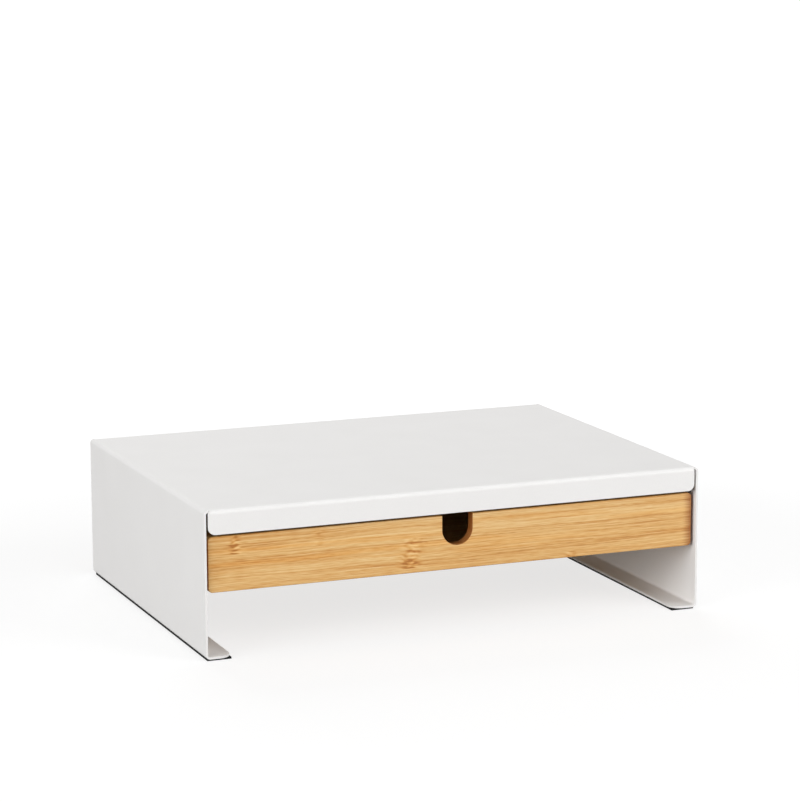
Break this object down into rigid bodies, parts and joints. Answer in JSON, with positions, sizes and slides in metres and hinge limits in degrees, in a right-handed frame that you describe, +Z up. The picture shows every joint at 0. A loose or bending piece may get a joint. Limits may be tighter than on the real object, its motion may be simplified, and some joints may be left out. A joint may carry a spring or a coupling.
{
  "type": "monitor stand with drawer",
  "caption": "Low desktop riser folded from white powder-coated steel sheet, with inward foot flanges, a front lip and a sliding bamboo drawer with a finger notch.",
  "frame": {"origin": "middle of the footprint on the desk surface, at the underside of the foot strips", "axes": "+X along the width to the right as seen from the drawer, +Y from the drawer front to the back, +Z up"},
  "size_m": [0.37, 0.27, 0.104],
  "materials": {
    "white_steel": "off-white fine-textured powder coat",
    "black_rubber": "matte rubber with a fine texture",
    "grey_rubber": "matte rubber",
    "bamboo": "clear satin lacquer over honey bamboo strips",
    "bamboo_board": "clear satin lacquer on thin bamboo board",
    "beech": "raw turned dowel",
    "zinc_steel": "bright zinc plating"
  },
  "bodies": {
    "stand": {"stand_shell": "white_steel", "left_runner": "white_steel", "right_runner": "white_steel", "left_foot_strip": "black_rubber", "right_foot_strip": "black_rubber", "left_stop_pad": "grey_rubber", "right_stop_pad": "grey_rubber"},
    "drawer": {"drawer_front": "bamboo", "drawer_left_side": "bamboo", "drawer_right_side": "bamboo", "drawer_back": "bamboo", "drawer_bottom": "bamboo_board", "front_dowels": "beech", "back_screws": "zinc_steel", "bottom_screws": "zinc_steel", "stop_screws": "zinc_steel"}
  },
  "joints": [
    {"name": "drawer_slide", "type": "slide", "parent": "stand", "child": "drawer", "axis": [0, -1, 0], "range_m": [0, 0.2]}
  ]
}
